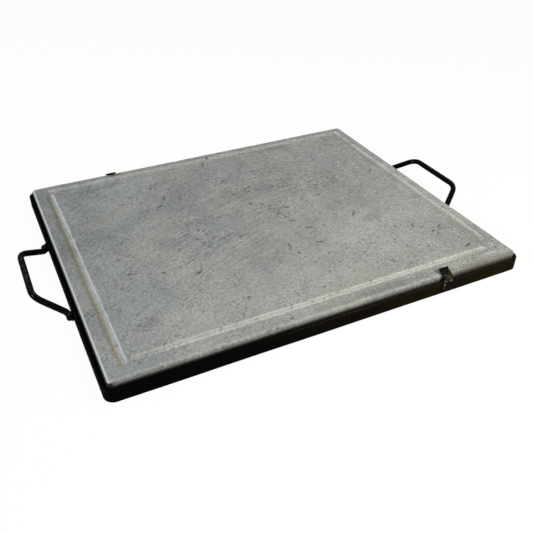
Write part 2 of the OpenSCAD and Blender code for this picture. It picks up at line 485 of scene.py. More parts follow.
# %% The slab as one closed surface
BEVEL_WIDE, BEVEL_FALL, BEVEL_EASE = 2.4, 0.7, 0.1
FACE_UNEVEN, SIDE_UNEVEN = (0.03, 60, 6), (0.05, 9, 7)
SIDE_STRETCH = 3
SIDE_SHARES = np.array([0.1, 0.24, 0.42, 0.62, 0.82, 1.0])
UNDER_ROUND = 0.7
UNDER_SHARES = np.array([0.985, 0.6, 0.2, 0.0])
ROUND_STATIONS = 4


def slab_top():
    """Points of the top face, row by row, with their distances from the edge, in edge radii, and
    from the nearest groove's middle, and how far the rounded or bevelled edge has dropped there."""
    x, y, inward = round_corners(*np.meshgrid(lines_x, lines_y))
    distance = groove_distance(x, y)
    radius = edge_rounding(x, y)
    bevel = BEVEL_FALL * eased(BEVEL_WIDE - (x - slab_low[0]), BEVEL_EASE)
    skirt = np.maximum(edge_drop(inward, radius), bevel)
    drop = np.maximum(groove_drop(distance), skirt)
    uneven = sunken(x, y, *FACE_UNEVEN)
    place = np.stack([x, y, slab_high[2] - drop - uneven * (inward > 0)], -1)
    return place, inward / radius, distance, skirt


def slab_sides(rim):
    """Rings below the top's outline: down the sawn side, round the lower edge and in to a pole."""
    x, y, top = rim.T
    flat = np.ones_like(x)
    step = np.linspace(0, np.pi / 2, ROUND_STATIONS)[1:, None]
    outward = np.stack([np.sign(x) * (abs(x) > slab_high[0] - SLAB_CORNER),
                        np.sign(y) * (abs(y) > slab_high[1] - SLAB_CORNER)], -1)
    outward = outward / np.maximum(np.linalg.norm(outward, axis=-1, keepdims=True), 1)
    foot = slab_low[2] + UNDER_ROUND
    height = top + SIDE_SHARES[:, None] * (foot - top)
    sawn = sunken(height * SIDE_STRETCH, x + y, *SIDE_UNEVEN) * flat
    turned = UNDER_ROUND * (1 - np.cos(step)) * flat
    inset = np.concatenate([sawn, sawn[-1] + turned])
    height = np.concatenate([height, foot - UNDER_ROUND * np.sin(step) * flat])
    ring = np.concatenate([rim[None, :, :2] - inset[..., None] * outward, height[..., None]], -1)
    under = ring[-1] * np.array([1, 1, 0]) * UNDER_SHARES[:, None, None]
    under[..., 2] = slab_low[2]
    return np.concatenate([ring, under])


top, inward, distance, skirt = slab_top()
index = np.arange(inward.size).reshape(inward.shape)
outline = np.concatenate([index[0, :-1], index[:-1, -1], index[-1, :0:-1], index[:0:-1, 0]])
rings = slab_sides(top.reshape(-1, 3)[outline])
ring_index = index.size + np.arange(rings.shape[0] * rings.shape[1]).reshape(rings.shape[:2])
walls = quads(np.concatenate([outline[None], ring_index]), wrap=True)
faces = np.concatenate([quads(index), walls])
points = np.concatenate([top.reshape(-1, 3), rings.reshape(-1, 3)])
print("slab surface", len(points), "points", len(faces), "quads")

# %% [markdown]
# ## What the slab's finish has to know
# Wear and painted light follow the shape: a cut groove is pale, the wall that faces the window is
# painted lighter, the floor beside the other wall gets a painted tan shade, and the front lip's
# painted shadow keeps the floor just behind it from going pale. Each wall is darker along its foot.
# Edges are rubbed, the left bevel is painted lighter and the sides are darker low down. A finish
# could find these places again from coordinates, but the grid knows them, so it keeps them as
# numbers at its points, and the finish reads them by name.

# %% Marks on the slab
# Painted light and shade in the grooves: a lighter band on each wall that faces the window, a tan
# shade on the floor beside the wall turned away from it, and the front lip's shadow, which keeps the
# floor just behind that lip from going pale.
SHADED_PLACE, SHADED_HALF = np.array([-1.1, 0.3]), 1.0
LIT_PLACE = np.array([3.15, 3.2, 3.3, 3.0])
LIT_HALF = np.array([0.75, 0.7, 0.75, 0.9])
LIT_SHARES = np.array([1.7, 1.25, 0.85, 0.5])
RIGHT_FADE = (-141.0, -122.0)
FLOOR_SHARES = np.array([1.1, 1.0, 1.0, 1.0])
LIP_SHADOW_PLACE, LIP_SHADOW_HALF = 0.9, 0.25
FOOT_WIDE = 0.45
BEVEL_SOFT = 0.12
ARRIS_PLACE, ARRIS_HALF = 0.85, 0.28
SLAB_CREASE = 60


def on_top(values, sides=0):
    """Values on the top face, followed by one value, or a row of them, on the sides."""
    return np.append(values, sides + 0 * below)


below = (slab_high[2] - rings[..., 2]).ravel()
offset = np.concatenate([top[..., :1] - [left_x, right_x], top[..., 1:2] - [front_y, rear_y]], -1)
groove = groove_drop(distance) / GROOVE_DEPTH
fade = np.interp(top[..., 1], RIGHT_FADE, (0, 1))
shaded = bell(offset[..., :2], SHADED_PLACE, SHADED_HALF)
shaded = (shaded[..., 0] + shaded[..., 1] * fade) * groove
facing = ((offset > 0) & (offset < GROOVE_WIDTH)) * LIT_SHARES
facing[..., 1] *= fade
lit = (bell(distance[..., None], LIT_PLACE, LIT_HALF) * facing).max(-1)
within = np.abs(offset) < GROOVE_WIDTH
lip_shadow = within[..., 2] / (1 + np.exp((offset[..., 2] + LIP_SHADOW_PLACE) / LIP_SHADOW_HALF))
floor_pale = np.clip(2 * groove - 1, 0, 1) * (within * FLOOR_SHARES).max(-1) * (1 - lip_shadow)
bevel = 1 / (1 + np.exp((top[..., 0] - slab_low[0] - BEVEL_WIDE) / BEVEL_SOFT))
slab_marks = {
    "arris": on_top(np.maximum(bell(inward, ARRIS_PLACE, ARRIS_HALF), bevel)),
    "floor": on_top(floor_pale),
    "lit": on_top(lit),
    "shaded": on_top(shaded),
    "foot": on_top(bell(distance, GROOVE_FLOOR / 2, FOOT_WIDE)),
    "skirt": on_top(skirt, below),
    "side": on_top(0 * inward, 1),
}
make_piece("cooking_stone", "stone_slab", "stone", points, faces, slab_marks, crease=SLAB_CREASE)

# %% [markdown]
# ## Bars that bend
# The rim, the handles and the clips are all bar stock bent in one plane: a flat band, a round rod
# and a narrow strip. So one method makes them all. A path of straight runs and arcs gives a
# place and a heading at each station, and the bar's section is set square to the heading there.


# %% Paths of runs and arcs
def toward(angle):
    """Unit vectors at these angles in the plane."""
    return np.stack([np.cos(angle), np.sin(angle)], -1)


def arc_at(before, corner, after, radius, turn_step):
    """Points and headings of the arc that rounds a corner: it starts radius * tan(turn / 2) early,
    and keeps its radius from one middle while the heading turns evenly."""
    start = math.atan2(*(corner - before)[::-1])
    finish = math.atan2(*(after - corner)[::-1])
    turn = (finish - start + math.pi) % (2 * math.pi) - math.pi
    side = math.copysign(1, turn)
    heading = start + turn * np.linspace(0, 1, max(2, math.ceil(abs(turn) / turn_step) + 1))
    begin = corner - radius * math.tan(abs(turn) / 2) * toward(start)
    middle = begin + side * radius * toward(start + math.pi / 2)
    return middle - side * radius * toward(heading + math.pi / 2), heading


def run_between(begin, end, run_step):
    """Points and heading of a straight run, its two ends left out."""
    gap = end - begin
    count = max(1, math.ceil(np.linalg.norm(gap) / run_step))
    share = np.arange(1, count)[:, None] / count
    return begin + share * gap, np.full(count - 1, math.atan2(gap[1], gap[0]))


def bent_path(corners, radii, run_step, turn_step=math.radians(8), closed=False):
    """A chain of straight runs and arcs through some corners, as points and headings."""
    corners = np.asarray(corners, float)
    trios = zip(np.roll(corners, 1, 0), corners, np.roll(corners, -1, 0), radii)
    knots = [arc_at(*trio, turn_step) for trio in trios]
    if not closed:
        knots[0] = corners[:1], knots[1][1][:1]
        knots[-1] = corners[-1:], knots[-2][1][-1:]
    chain = []
    for knot, following in zip(knots, knots[1:] + knots[:1]):
        chain += [knot, run_between(knot[0][-1], following[0][0], run_step)]
    chain = chain if closed else chain[:-1]
    return tuple(np.concatenate(part) for part in zip(*chain))


print("paths ready")


# %% Sections and sweeps
def bar_section(width, height, edge, inset=0.0, arc_points=5, margin=0.0):
    """Outline of a bar's section with rounded edges, one row for each inset it is drawn in by. A
    corner is a quarter circle of radius edge - inset, with a point on the flat at each end."""
    inset = np.atleast_1d(inset).astype(float)[:, None]
    small = np.maximum(edge - inset, 0)
    quarter = np.linspace(0, math.pi / 2, arc_points)
    quarter = np.concatenate([quarter[:1], quarter, quarter[-1:]])
    angle = (quarter + np.arange(4)[:, None] * math.pi / 2).ravel()
    sign = np.sign(toward(np.repeat(np.arange(4), len(quarter)) * math.pi / 2 + math.pi / 4))
    slide = np.tile(np.concatenate([[-1], np.zeros(arc_points), [1]]), 4)
    slide = slide * margin * np.maximum(1 - inset / (min(width, height) / 2), 0)
    half = np.array([width, height]) / 2
    middle = sign * (half - inset[..., None] - small[..., None])
    rounded = middle + small[..., None] * toward(angle)
    return rounded + slide[..., None] * toward(angle + math.pi / 2)


def edge_marks(stations, arc_points=5):
    """One on the rounded edges of a bar_section and nought on its flats, at every station."""
    ring = np.tile(np.concatenate([[0], np.ones(arc_points), [0]]), 4)
    return np.tile(ring, stations)


def sweep(path, origin, first, second, section):
    """Carries a section along a path in the plane of two directions. A point is the path's own
    point plus across times its side, a quarter turn from the heading, plus up, square to both."""
    points, heading = path
    plane = np.stack([first, second]).astype(float)
    side = toward(heading + math.pi / 2) @ plane
    up = np.cross(*plane)
    line = (origin + points @ plane)[:, None]
    return line + section[..., :1] * side[:, None] + section[..., 1:] * up


def with_ends(path, ease, half):
    """The path with stations that round and close both ends, and the inset of the section at each:
    ease * (1 - cos a) in, ease * (1 - sin a) from the end, then in to the middle."""
    points, heading = path
    angle = np.linspace(0, math.pi / 2, ROUND_STATIONS)
    back = np.append(ease * (1 - np.sin(angle)), 0)[:, None]
    inset = np.append(ease * (1 - np.cos(angle)), half)
    first = points[0] + back * toward(heading[0])
    last = points[-1] - back * toward(heading[-1])
    count = len(inset)
    stations = np.concatenate([first[::-1], points[1:-1], last])
    ways = np.concatenate([np.full(count, heading[0]), heading[1:-1], np.full(count, heading[-1])])
    return (stations, ways), np.concatenate([inset[::-1], np.zeros(len(points) - 2), inset])


def ring_faces(rings):
    """Quads of a sweep: each ring is joined to the next, and its last point to its first."""
    return quads(np.arange(rings.shape[0] * rings.shape[1]).reshape(rings.shape[:2]), wrap=True)


def join(shells):
    """Points and quads of several closed shells as one pair of arrays."""
    start = np.cumsum([0] + [shell.shape[0] * shell.shape[1] for shell in shells[:-1]])
    faces = [ring_faces(shell) + first for shell, first in zip(shells, start)]
    return np.concatenate([shell.reshape(-1, 3) for shell in shells]), np.concatenate(faces)


print("sweeps ready")

# %% [markdown]
# ## The rim
# The rim is one flat band bent round the slab, with its ends butted and welded behind. Paint
# softens its edges, and hand bending leaves the long sides a hair wavy. The closing weld was
# ground back, so only a slight swelling shows.

# %% Rim band
WALL = 3.0
RIM_CORNER = 9.0
RIM_EDGE = 0.75
RIM_STEP, RIM_MARGIN = 5.0, 0.5
RIM_WANDER = (0.06, 110, 11)
RIM_RUB, RUB_SHARES = (-110.0, 20.0), (0.1, 1)
SEAM_X, SEAM_HALF, SEAM_RISE = 62.0, 2.6, 0.28

half = rim_high[:2] - WALL / 2
rim_height = rim_high[2] - rim_low[2]
rim_corners = half * np.array([[-1, -1], [1, -1], [1, 1], [-1, 1]])
rim_path = bent_path(rim_corners, [RIM_CORNER - WALL / 2] * 4, RIM_STEP, closed=True)
rim_path = tuple(np.concatenate([part, part[:1]]) for part in rim_path)
section = bar_section(WALL, rim_height, RIM_EDGE, margin=RIM_MARGIN)
section = np.tile(section, (len(rim_path[0]), 1, 1))
station_x, station_y = rim_path[0].T
section[..., 0] += ripple(station_x, station_y, *RIM_WANDER)[:, None]
seam = bell(station_x, SEAM_X, SEAM_HALF) * (station_y > 0)
section[..., 0] += SEAM_RISE * seam[:, None] * np.sign(section[..., 0])
rim_rings = sweep(rim_path, [0, 0, rim_low[2] + rim_height / 2], [1, 0, 0], [0, 1, 0], section)
rubbed_right = np.interp(rim_rings[..., 0].ravel(), RIM_RUB, RUB_SHARES)
rim_marks = {"edge": edge_marks(len(rim_rings)) * rubbed_right}
make_piece("steel_rim", "rim_band", "frame_paint", *join([rim_rings]), rim_marks)

# %% [markdown]
# ## The handles
# Each handle is a 6 mm rod bent four times in one plane that leans up from the rim: a foot along
# the wall, a flared leg, the grip, and the same again. The rod goes a little oval in its bends, as
# it does in a bending jig, and its cut ends keep a small round of paint. A thin line along its top
# is marked, where the finish paints a highlight.

# %% Rod handles
ROD = 6.0
HANDLE_TILT = math.radians(30)
GRIP_HALF, FOOT_HALF = 36.5, 53.5
GRIP_BEND, FOOT_BEND = 15.5, 6.5
ROD_EASE = 0.55
ROD_OVAL = 0.05
ROD_STEP, ROD_ARC = 3.0, 8
HIGHLIGHT_PLACE, HIGHLIGHT_HALF = 1.0, 0.07

rod_low, rod_high = node_box("right_handle")
foot_z = rod_low[2] + ROD / 2
foot_x = rod_low[0] + ROD / 2
reach = (rod_high[0] - ROD / 2 - foot_x) / math.cos(HANDLE_TILT)
end_half = rod_high[1]
rod_corners = [(0, -end_half), (0, -FOOT_HALF), (reach, -GRIP_HALF),
               (reach, GRIP_HALF), (0, FOOT_HALF), (0, end_half)]
rod_path = bent_path(rod_corners, [0, FOOT_BEND, GRIP_BEND, GRIP_BEND, FOOT_BEND, 0], ROD_STEP)
rod_path, rod_inset = with_ends(rod_path, ROD_EASE, ROD / 2)
rod_section = bar_section(ROD, ROD, ROD / 2, rod_inset, arc_points=ROD_ARC)
bending = np.abs(np.gradient(np.unwrap(rod_path[1])))
bending = np.convolve(bending / bending.max(), np.ones(3) / 3, "same")[:, None]
rod_section[..., 0] *= 1 - ROD_OVAL * bending
for side, name in ((-1, "left"), (1, "right")):
    outward = np.array([side * math.cos(HANDLE_TILT), 0, math.sin(HANDLE_TILT)])
    rod = sweep(rod_path, [side * foot_x, 0, foot_z], outward, [0, 1, 0], rod_section)
    # A thin line along the rod's top, where the finish paints a highlight
    upper = (rod - rod.mean(1, keepdims=True))[..., 2] / (ROD / 2)
    rod_marks = {"upper": bell(upper, HIGHLIGHT_PLACE, HIGHLIGHT_HALF).ravel()}
    make_piece(f"{name}_grip", f"{name}_handle", "handle_paint", *join([rod]), rod_marks)

# %% [markdown]
# ## The weld beads
# A short bead runs above and below each foot where the rod meets the wall. Molten metal freezes in
# overlapping drops, so the bead is a round section that swells and narrows along its length and
# tapers off at both ends. It sinks a little into rod and wall, as a weld does.

# %% Beads on the handles' feet
BEAD_ROUND = 1.55
BEAD_PITCH = 1.7
BEAD_IN, BEAD_UP = 1.0, 3.1
BEAD_STATIONS, BEAD_ARC, BEAD_SEED = 40, 6, 20
BEAD_DIP, BEAD_TAPER = 0.14, 2.6
BEAD_WANDER = (0.06, 3.5)


def bead_rings(begin, end, radius, seed):
    """A welded bead from begin to end: a round section whose radius dips between drops a pitch
    apart and shrinks to nothing at both ends like the ends of an ellipse."""
    length = np.linalg.norm(np.subtract(end, begin))
    share = (1 - np.cos(np.linspace(0, np.pi, BEAD_STATIONS))) / 2
    along = np.array([share * length, 0 * share]).T
    drops = 1 - BEAD_DIP + BEAD_DIP * np.abs(np.sin(np.pi * share * length / BEAD_PITCH))
    wander = 1 + ripple(share * length, 0 * share, *BEAD_WANDER, seed)
    taper = np.sqrt(np.maximum(1 - np.abs(2 * share - 1) ** BEAD_TAPER, 0))
    size = radius * drops * wander * taper
    ring = bar_section(2, 2, 1, arc_points=BEAD_ARC) * size[:, None, None]
    way = np.subtract(end, begin) / length
    flat = np.cross([0, 0, 1], way)
    return sweep((along, 0 * share), np.array(begin, float), way, flat, ring)


foot_turn = math.atan2(reach, FOOT_HALF - GRIP_HALF)
bead_start = FOOT_HALF + FOOT_BEND * math.tan(foot_turn / 2)
bead_end = node_box("right_handle_welds")[1][1]
for side, name in ((-1, "left"), (1, "right")):
    beads = []
    for end in (-1, 1):
        for up in (-1, 1):
            x, z = side * (rim_high[0] + BEAD_IN), foot_z + up * BEAD_UP
            begin, finish = [x, end * bead_start, z], [x, end * bead_end, z]
            seed = BEAD_SEED + 3 * side + 2 * end + up
            beads.append(bead_rings(begin, finish, BEAD_ROUND, seed))
    make_piece(f"{name}_grip_welds", f"{name}_handle_welds", "weld_paint", *join(beads))

# %% [markdown]
# ## The clips
# A clip is a narrow strip of spring steel. It stands against the wall's outside, leans in over the
# gap and ends in a lifted tip that presses near the slab's edge. It is the same kind of bar as the
# rim, so it is swept the same way, in an upright plane. Each one rides on its own body, because it
# springs outwards to free the slab.

# %% Spring clips and the beads under them
STRIP_WIDE, STRIP_THICK, STRIP_EDGE = 10.0, 1.5, 0.35
STRIP_BEND = 2.5
STRIP_STEP, STRIP_TURN, STRIP_MARGIN = 1.0, math.radians(6), 0.3
LEG_OUT, LEG_TOP = 5.05, 13.6
TAB_OUT, TAB_TOP = 1.0, 18.19
TIP_OUT, TIP_TOP = -6.0, 21.6
GLINT_UP, GLINT_HALF = 10.0, 4.0
LEAN_UP, LEAN_HALF = 17.0, 3.0
BEND_HALF = 0.6
CLIP_BEAD_ROUND, CLIP_BEAD_OUT, CLIP_BEAD_SEED = 0.85, 0.3, 40

clip_foot = node_box("front_clip")[0][2]
clip_corners = [(LEG_OUT, clip_foot), (LEG_OUT, LEG_TOP), (TAB_OUT, TAB_TOP), (TIP_OUT, TIP_TOP)]
strip_path = bent_path(clip_corners, [0, STRIP_BEND, STRIP_BEND, 0], STRIP_STEP, STRIP_TURN)
strip_path, strip_inset = with_ends(strip_path, STRIP_EDGE, STRIP_THICK / 2)
strip_section = bar_section(STRIP_THICK, STRIP_WIDE, STRIP_EDGE, strip_inset, margin=STRIP_MARGIN)
strip_up = np.repeat(strip_path[0][:, 1], strip_section.shape[1])
strip_side = (strip_section[..., 1] > 0).ravel()
# Painted light on the clip: a glint on one edge of the leg, a sheen on the leaning face and a glint
# along the bend
clip_marks = {
    "nick": edge_marks(len(strip_section)) * strip_side * bell(strip_up, GLINT_UP, GLINT_HALF),
    "lean": np.exp(-((strip_up - LEAN_UP) / LEAN_HALF) ** 4),
    "bend": bell(strip_up, LEG_TOP, BEND_HALF),
}
for side, name in ((-1, "front"), (1, "rear")):
    low, high = node_box(f"{name}_clip")
    slab_side = [(low[0] + high[0]) / 2, side * slab_high[1], 0]
    strip = sweep(strip_path, slab_side, [0, side, 0], [0, 0, 1], strip_section)
    make_piece(f"{name}_spring_clip", f"{name}_clip", "clip_steel", *join([strip]), clip_marks)
    low, high = node_box(f"{name}_clip_weld")
    y = side * (rim_high[1] + CLIP_BEAD_OUT)
    z = (low[2] + high[2]) / 2
    bead = bead_rings([low[0], y, z], [high[0], y, z], CLIP_BEAD_ROUND, CLIP_BEAD_SEED + side)
    make_piece(f"{name}_clip_bead", f"{name}_clip_weld", "weld_paint", *join([bead]))

# %% [markdown]
# ## The stone's finish
# Dressed soapstone is a soft grey, clouded over a hand's breadth and mottled over a finger's. A
# round saw has left faint arcs across its middle, and short dark flecks lie along them. Wear shows
# paler along the edges. The left bevel and the groove walls that face the window are painted
# lighter, as light would make them, and broad paler and darker areas are partly the stone's own
# tone and partly painted light and shade. The slab is darker brown along its rear edge and at the
# front right, and darker low on the sides. An image would be tied to one slab, so all of it is
# mixed from noise in the slab's own coordinates, in millimetres, and the scale is the real one.


# %% Helpers for finishes
SAW_MIDDLE = (100.0, -360.0, 18.0)
SAW_REACH = 400.0


def vectors(operation, *values, out=0):
    """A Vector Math node of this operation; the first value is a wire."""
    return values[0].node("VectorMath", {"operation": operation}, dict(enumerate(values)), out)


def start_finish(name):
    """A new empty material, the start of its tree and the piece's coordinates in millimetres."""
    material = bpy.data.materials.new(name)
    start = empty_tree(material)
    where = vectors("MULTIPLY", start.node("TexCoord", out="Object"), [1 / MM] * 3)
    return material, start, where


def noise(where, size, detail=3.0, rough=0.5):
    """Cloudy values about 0.5, with shapes of about this size in millimetres."""
    return where.node("TexNoise", {}, {"Vector": where, "Scale": 1 / size, "Detail": detail,
                                       "Roughness": rough})


def swept(where, length, width):
    """Coordinates along the arcs that a round saw leaves: the way round the saw's middle, in
    lengths, and the distance from it, in widths."""
    local = vectors("SUBTRACT", where, SAW_MIDDLE)
    far = vectors("LENGTH", local, out="Value")
    x = local.node("SeparateXYZ", {}, {0: local}, out="X")
    turn = x.math("ARCTAN2", x.beside("Y"), x)
    return x.node("CombineXYZ", {}, {0: turn * (SAW_REACH / length), 1: far * (1 / width)})


def warped(where, size, shift):
    """Coordinates pushed about by noise, to make straight things ragged."""
    push = noise(where, size, 2.0).beside("Color")
    push = vectors("MULTIPLY", vectors("SUBTRACT", push, [0.5] * 3), [shift] * 3)
    return vectors("ADD", where, push)


def rise(value, low, high):
    """Nought below low, one above high, and a smooth slope between; falls if high is below low."""
    return value.node("MapRange", {"interpolation_type": "SMOOTHSTEP"}, {
        "Value": value, "From Min": low, "From Max": high})


def blend(share, first, second):
    """A colour part of the way from first to second."""
    return share.node("Mix", {"data_type": "RGBA"}, {0: share, 6: first, 7: second}, out=2)


def mark(start, name):
    """The number kept at each point of the mesh under this name."""
    return start.node("Attribute", {"attribute_name": name}, out="Fac")


print("helpers ready")

# %% Flecks, clouds and scuffs
# Each mark is a place, a slant in degrees, a half-length and a half-width
FLECKS = [
    (-145, -39, 160, 5, 1.2), (-25, -23, 20, 5.5, 1.2), (-87, -63, 32, 4.5, 1.3),
    (42, -39, 170, 5, 1.1), (98, -35, 55, 5.5, 1.2), (8, -61, 75, 5, 1.1), (140, -82, 60, 4, 1.4),
    (163, -95, 35, 4, 1.3), (85, 17, 50, 2.2, 1.5), (168, 40, 60, 3, 1.4),
    (-80, 110, 55, 4.5, 1.4), (-72, 83, 65, 5.5, 1.2), (-82, 68, 30, 5, 1.1),
    (-5, 138, 70, 7, 1.2), (7, 157, 65, 4, 1.2), (-150, -12, 45, 3, 1.2),
    (167, -135, 25, 4.5, 1.2), (40, -68, 155, 4.5, 1), (112, -111, 20, 2, 1.3),
    (85, -125, 110, 4.5, 1), (-62, -117, 45, 2.2, 1.1), (-41, -158.3, 30, 2.4, 1.2),
    (-65, -163.6, 0, 2.4, 0.9), (-58.5, -163.9, 10, 2.2, 0.9), (2, 92, 35, 4, 1.4),
    (67, -19, 30, 2.2, 1), (-45, -20, 15, 3, 1), (26, 0, 40, 2.6, 1), (20, -7, 10, 1.8, 0.9),
    (152, -100, 40, 3, 1.2), (131, -120, 80, 2.4, 0.8), (142, -135, 20, 2, 0.9),
    (5, -132, 70, 2.6, 0.9), (110, 52, 0, 1.7, 1), (115, 32, 0, 1.8, 1), (-140, 145, 70, 3, 0.9),
    (-60, 102, 45, 2.4, 1), (22, 67, 30, 2.4, 1.2), (8, 68, 60, 2, 1.1),
    (107.5, -95.5, 30, 1.7, 1.1), (-117, -49.5, 20, 1.8, 1.1), (11, -75, 60, 1.8, 1.1),
    (154, -106, 50, 1.8, 1.1), (168, -120, 30, 1.8, 1), (-18.5, -22.5, 20, 1.7, 1),
    (122.5, -75.5, 45, 1.7, 1), (-101, -47, 15, 1.8, 1), (37, -3.5, 30, 1.6, 1)]
SCUFFS = [(176, -155.6, 2, 9, 1.5), (142.5, -158, 20, 1.3, 0.8), (150, -158, 0, 1.3, 0.8)]
SCRATCHES = [(-150, 65, 88, 38, 0.45), (-160, -45, 92, 12, 0.45)]
STAINS = [(-93, 162.5, 0, 10, 2.2)]
# The shades and gleams, and the side gleam along the right edge, are broad darker and paler areas:
# partly the stone's own tone, partly painted shade and light.
SHADES = [
    (-60, 60, 60, 70, 30), (-165, 70, 88, 95, 30), (185, -125, 40, 50, 30), (20, 50, 10, 45, 20),
    (-186, 10, 90, 190, 22)]
SMUDGES = [
    (-192, 95, 90, 85, 7), (45, -158, 0, 75, 4.5), (-138, 137, 6, 36, 6.5),
    (-152, -113, 30, 13, 8), (112, -48, 15, 16, 7), (-60, 118, 5, 20, 5), (92, 146, 5, 22, 7)]
DASHED = [(0, 25, 20, 120, 62)]
SAWN = [(-30, 2, 25, 150, 72)]
GLEAMS = [
    (85, -70, 20, 60, 34), (110, -105, 10, 60, 20), (150, 125, 0, 80, 45), (-50, -120, 8, 115, 36),
    (170, -10, 80, 80, 30)]
SIDE_GLEAM = [(195.5, -10, 90, 170, 3.4)]


def nearest_mark(where, marks):
    """Distance from the nearest of some marks, as a share of the mark's own half-sizes: the root of
    the summed squares along and across it. Vector products need less room than Mapping nodes."""
    nearest = None
    for x, y, slant, half_length, half_width in marks:
        local = vectors("SUBTRACT", where, (x, y, 0))
        way = np.append(toward(math.radians(slant)), 0)
        side = np.cross([0, 0, 1], way)
        along = vectors("DOT_PRODUCT", local, way / half_length, out="Value")
        across = vectors("DOT_PRODUCT", local, side / half_width, out="Value")
        away = along * along + across * across
        nearest = nearest.math("MINIMUM", nearest, away) if nearest else away
    return nearest.math("SQRT", nearest)


def scattered_flecks(where, cell, share, long, size):
    """Short marks scattered at random along the saw's arcs: in each cell of a flat Voronoi pattern,
    a spot about its seed, kept only where the cell's own random colour is below the share."""
    drawn = swept(where, long * cell, cell)
    spot = drawn.node("TexVoronoi", {"voronoi_dimensions": "2D"}, {"Vector": drawn, "Scale": 1.0})
    chance = spot.node("SeparateColor", {}, {0: spot.beside("Color")})
    return rise(spot, size, size * 0.55) * rise(chance, share + 0.02, share)


print(len(FLECKS), "flecks in their places")

# %% Stone
SIDE_DARK = (0.012, 0.011, 0.010, 1)
DARK_BROWN = (0.075, 0.062, 0.045, 1)
STONE_GREY = (0.258, 0.265, 0.251, 1)
STONE_PALE = (0.46, 0.46, 0.435, 1)
STONE_BEIGE = (0.310, 0.300, 0.268, 1)
STONE_BLUE = (0.215, 0.232, 0.238, 1)
TAN_STAIN_AND_SHADE = (0.305, 0.268, 0.135, 1)
STONE_DARK = (0.085, 0.09, 0.09, 1)
FLECK_DARK = (0.060, 0.063, 0.063, 1)
STONE_SIDE = (0.19, 0.20, 0.21, 1)
TONES = [(0.14, (0.122, 0.128, 0.128)), (0.50, STONE_GREY[:3]), (0.99, (0.48, 0.482, 0.452))]
FRONT_DEEP, FRONT_FROM, FRONT_TO = (-115, -145), (-174, -125), (112, 155)
LEFT_EDGE, REAR_EDGE = (-193, -197), (162.6, 164.4)
SMEAR_FROM, SMEAR_DEEP = (112, 145), (-159.5, -163.5)
LOW_DARK_SKIRT, BEVEL_DARK = (3.2, 5.1), (0.9, 1.3)


def stone_tone(where, along, deep):
    """Lightness of the stone about 0.5: wide clouds, mottling, patches, grain and the saw's arcs,
    with paler and darker areas in their places. Also gives the relief that they leave."""
    clouds = noise(swept(where, 120, 55), 1.0, 3, 0.55) - 0.5
    mottle = noise(where, 22, 4, 0.55) - 0.5
    right = rise(along, 10, 90)
    rear = rise(deep, 20, 110)
    patches = (noise(where, 8.5, 3, 0.55) - 0.5) * right.math("MAXIMUM", right * 0.7, rear)
    grain = noise(swept(where, 3.2, 2.4), 1.0, 3, 0.65) - 0.5
    fine = noise(where, 1.7, 2, 0.55) - 0.5
    saw = noise(swept(where, 38.0, 2.1), 1.0, 3, 0.6) - 0.5
    drifting = warped(where, 30, 18)
    sawn = rise(nearest_mark(drifting, SAWN), 1.4, 0.4)
    shade = rise(nearest_mark(drifting, SHADES), 1.4, 0.2)
    smudge = rise(nearest_mark(warped(where, 12, 6), SMUDGES), 1.4, 0.4)
    gleam = rise(nearest_mark(drifting, GLEAMS), 1.4, 0.2)
    beside = rise(nearest_mark(warped(where, 6, 1.5), SIDE_GLEAM), 1.3, 0.5)
    dips = rise(noise(swept(where, 5.0, 2.6), 1.0, 3, 0.6), 0.42, 0.22)
    motes = rise(noise(where, 2.4, 2), 0.60, 0.76)
    coarse = grain * 0.72 + fine * 0.62 + motes * 0.10 - dips * 0.24
    tone = 0.5 + clouds * 0.3 + mottle * 0.37 + patches * 0.32
    tone = tone + coarse * (1.13 + right * 0.22 + rear * 0.2) + saw * (0.1 + sawn * 0.68)
    relief = grain * 0.12 + fine * 0.14 + saw * 0.05 + mottle * 0.10
    return tone + gleam * 0.08 + beside * 0.11 - shade * 0.10 - smudge * 0.14, relief


def stone_flecks(where):
    """Dark flecks: large ones in their places, broken by noise, and three sizes in clusters."""
    ragged = warped(where, 4.0, 2.4)
    middle = rise(nearest_mark(warped(where, 30, 18), DASHED), 1.3, 0.5)
    crowd = rise(noise(swept(where, 60, 24), 1.0, 2), 0.40, 0.54) * (0.55 + middle * 0.45)
    broken = rise(noise(where, 2.3, 2), 0.35, 0.50)
    large = rise(nearest_mark(ragged, FLECKS), 1.5, 0.6) * broken
    strewn = scattered_flecks(ragged, 6.0, 0.36, 2.4, 0.23) * (0.12 + crowd * 0.88)
    small = scattered_flecks(ragged, 3.4, 0.50, 1.9, 0.28) * (0.15 + crowd * 0.85)
    pits = scattered_flecks(warped(where, 2.0, 1.0), 2.3, 0.40, 1.4, 0.28) * (0.35 + crowd * 0.65)
    dark = large.math("MAXIMUM", large * 0.95, strewn * 0.75)
    dark = dark.math("MAXIMUM", dark, small * 0.55 + pits * 0.35)
    return dark * rise(noise(where, 2.0, 2), 0.20, 0.42)


